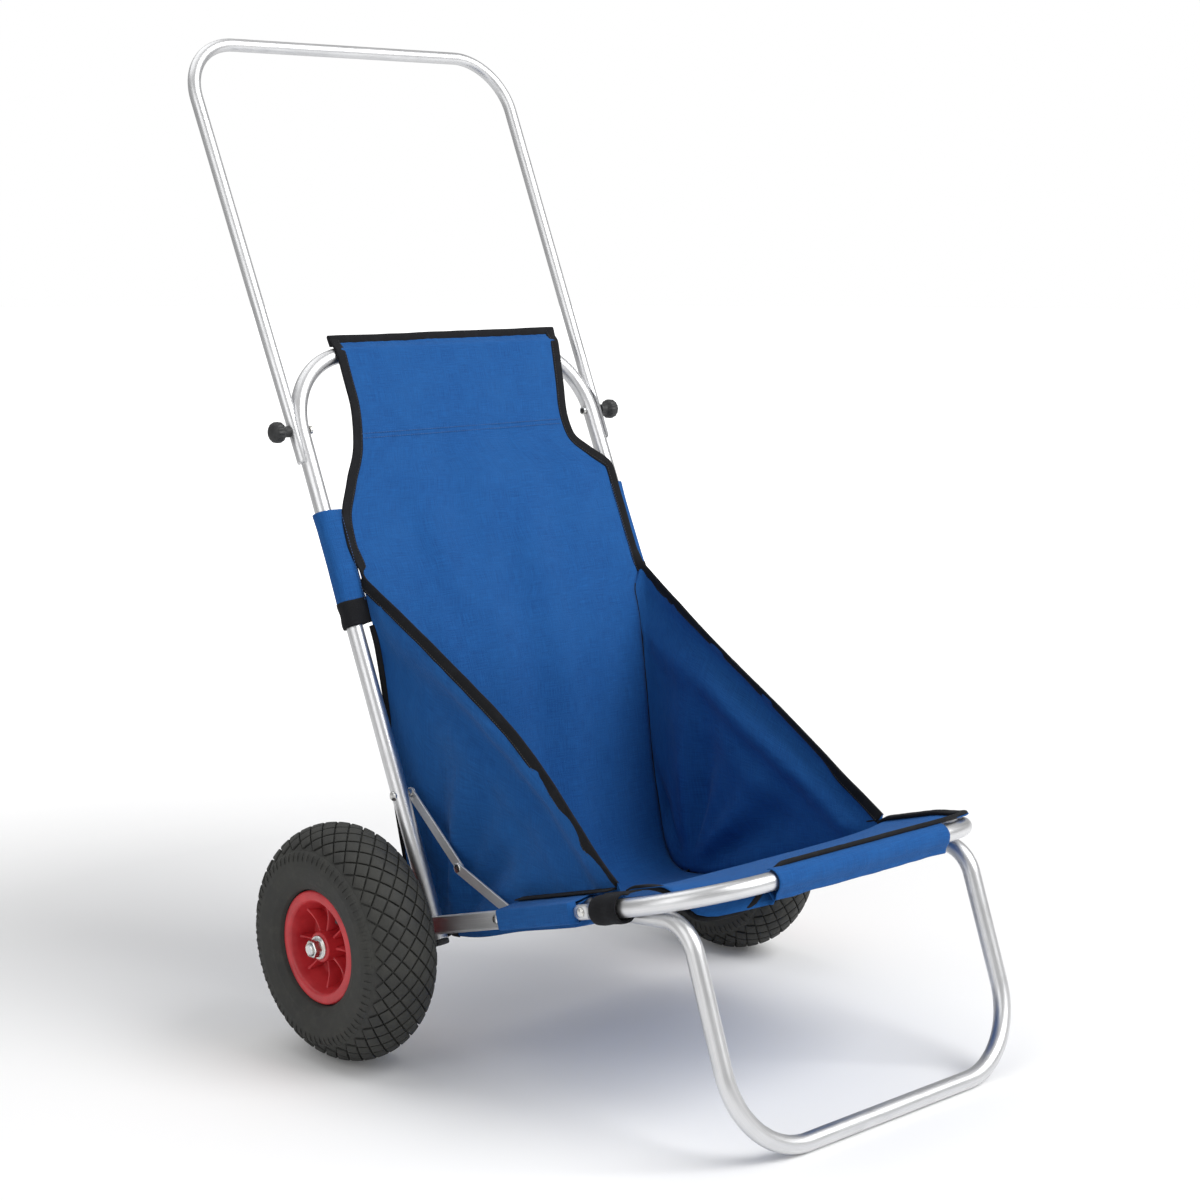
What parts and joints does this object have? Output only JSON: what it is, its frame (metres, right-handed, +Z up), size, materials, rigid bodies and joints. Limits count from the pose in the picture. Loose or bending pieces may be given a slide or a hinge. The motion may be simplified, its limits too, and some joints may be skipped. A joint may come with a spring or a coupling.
{
  "type": "folding beach cart",
  "caption": "Folding beach cart chair: cloth sling seat on a tube frame, front leg loop, fold-down handle clamped by knobs, and two air-tyred wheels.",
  "frame": {"origin": "on the ground, below the middle of the cart's width and depth", "axes": "+Z up; X across the cart, +X on the sitter's left; the sitter faces -Y, so the wheels and handle are towards +Y"},
  "size_m": [0.693, 0.9094, 1.1107],
  "materials": {
    "aluminium_tube": "satin anodised tube",
    "zinc_steel": "bright zinc plate",
    "tyre_rubber": "matt black rubber with block tread",
    "tube_rubber": "matt black rubber",
    "red_plastic": "moulded red plastic, semi-gloss",
    "black_plastic": "matt black",
    "blue_cloth": "royal blue coated polyester weave",
    "black_webbing": "black woven binding and webbing"
  },
  "bodies": {
    "chassis": {"seat_tube": "aluminium_tube", "axle": "zinc_steel", "front_sleeve": "blue_cloth", "sling_seat": "blue_cloth", "sling_bucket": "blue_cloth", "side_panel_L": "blue_cloth", "side_panel_R": "blue_cloth", "side_rail_L": "aluminium_tube", "side_rail_R": "aluminium_tube", "axle_spacer_L": "zinc_steel", "axle_spacer_R": "zinc_steel", "axle_nut_L": "zinc_steel", "axle_nut_R": "zinc_steel", "rail_sleeve_L": "blue_cloth", "rail_sleeve_R": "blue_cloth", "front_strap_L": "black_webbing", "front_strap_R": "black_webbing", "back_pivot_bolt_L": "zinc_steel", "back_pivot_bolt_R": "zinc_steel", "leg_pivot_bolt_L": "zinc_steel", "leg_pivot_bolt_R": "zinc_steel", "leg_pivot_bush_L": "black_plastic", "leg_pivot_bush_R": "black_plastic", "brace_lower_rivet_L": "zinc_steel", "brace_lower_rivet_R": "zinc_steel"},
    "back": {"back_tube": "aluminium_tube", "top_sleeve": "blue_cloth", "top_binding": "black_webbing", "sling_back": "blue_cloth", "back_plug_L": "black_plastic", "back_plug_R": "black_plastic", "insert_nut_L": "zinc_steel", "insert_nut_R": "zinc_steel", "back_sleeve_L": "blue_cloth", "back_sleeve_R": "blue_cloth", "back_strap_L": "black_webbing", "back_strap_R": "black_webbing", "brace_upper_rivet_L": "zinc_steel", "brace_upper_rivet_R": "zinc_steel"},
    "handle": {"handle_tube": "aluminium_tube"},
    "leg": {"leg_tube": "aluminium_tube"},
    "knob_L": {"clamp_knob_L": "black_plastic"},
    "wheel_L": {"tyre_L": "tyre_rubber", "inner_tube_L": "tube_rubber", "rim_L": "red_plastic", "valve_L": "black_plastic", "hub_bush_L": "zinc_steel"},
    "brace_upper_L": {"brace_upper_L": "aluminium_tube"},
    "brace_lower_L": {"brace_lower_L": "aluminium_tube", "brace_knee_rivet_L": "zinc_steel"},
    "knob_R": {"clamp_knob_R": "black_plastic"},
    "wheel_R": {"tyre_R": "tyre_rubber", "inner_tube_R": "tube_rubber", "rim_R": "red_plastic", "valve_R": "black_plastic", "hub_bush_R": "zinc_steel"},
    "brace_upper_R": {"brace_upper_R": "aluminium_tube"},
    "brace_lower_R": {"brace_lower_R": "aluminium_tube", "brace_knee_rivet_R": "zinc_steel"}
  },
  "joints": [
    {"name": "back_fold", "type": "hinge", "parent": "chassis", "child": "back", "pos_m": [0, 0.01539, 0.14698], "axis": [1, 0, 0], "range_deg": [0, 80], "deforming": ["sling_bucket", "side_panel_L", "side_panel_R"]},
    {"name": "handle_fold", "type": "hinge", "parent": "back", "child": "handle", "pos_m": [0, 0.24803, 0.66779], "axis": [-1, 0, 0], "range_deg": [0, 135]},
    {"name": "leg_fold", "type": "hinge", "parent": "chassis", "child": "leg", "pos_m": [0, -0.2366, 0.21876], "axis": [1, 0, 0], "range_deg": [0, 108]},
    {"name": "wheel_spin_L", "type": "hinge", "parent": "chassis", "child": "wheel_L", "pos_m": [0.2985, 0.075, 0.13], "axis": [1, 0, 0], "continuous": true},
    {"name": "knob_turn_L", "type": "hinge", "parent": "back", "child": "knob_L", "pos_m": [0.2301, 0.24803, 0.66779], "axis": [1, 0, 0], "range_deg": [0, 360]},
    {"name": "brace_upper_swing_L", "type": "hinge", "parent": "back", "child": "brace_upper_L", "pos_m": [0.2054, 0.07469, 0.27974], "axis": [1, 0, 0], "range_deg": [0, 40.16]},
    {"name": "brace_lower_swing_L", "type": "hinge", "parent": "chassis", "child": "brace_lower_L", "pos_m": [0.2082, -0.10148, 0.18027], "axis": [1, 0, 0], "range_deg": [-14.2, 0]},
    {"name": "wheel_spin_R", "type": "hinge", "parent": "chassis", "child": "wheel_R", "pos_m": [-0.2985, 0.075, 0.13], "axis": [1, 0, 0], "continuous": true},
    {"name": "knob_turn_R", "type": "hinge", "parent": "back", "child": "knob_R", "pos_m": [-0.2301, 0.24803, 0.66779], "axis": [-1, 0, 0], "range_deg": [0, 360]},
    {"name": "brace_upper_swing_R", "type": "hinge", "parent": "back", "child": "brace_upper_R", "pos_m": [-0.2054, 0.07469, 0.27974], "axis": [1, 0, 0], "range_deg": [0, 40.16]},
    {"name": "brace_lower_swing_R", "type": "hinge", "parent": "chassis", "child": "brace_lower_R", "pos_m": [-0.2082, -0.10148, 0.18027], "axis": [1, 0, 0], "range_deg": [-14.2, 0]}
  ],
  "couplings": [
    {"joint": "brace_upper_swing_L", "follows": "back_fold", "ratio": 0.4957},
    {"joint": "brace_lower_swing_L", "follows": "back_fold", "ratio": -0.1712},
    {"joint": "brace_upper_swing_R", "follows": "back_fold", "ratio": 0.4957},
    {"joint": "brace_lower_swing_R", "follows": "back_fold", "ratio": -0.1712}
  ]
}
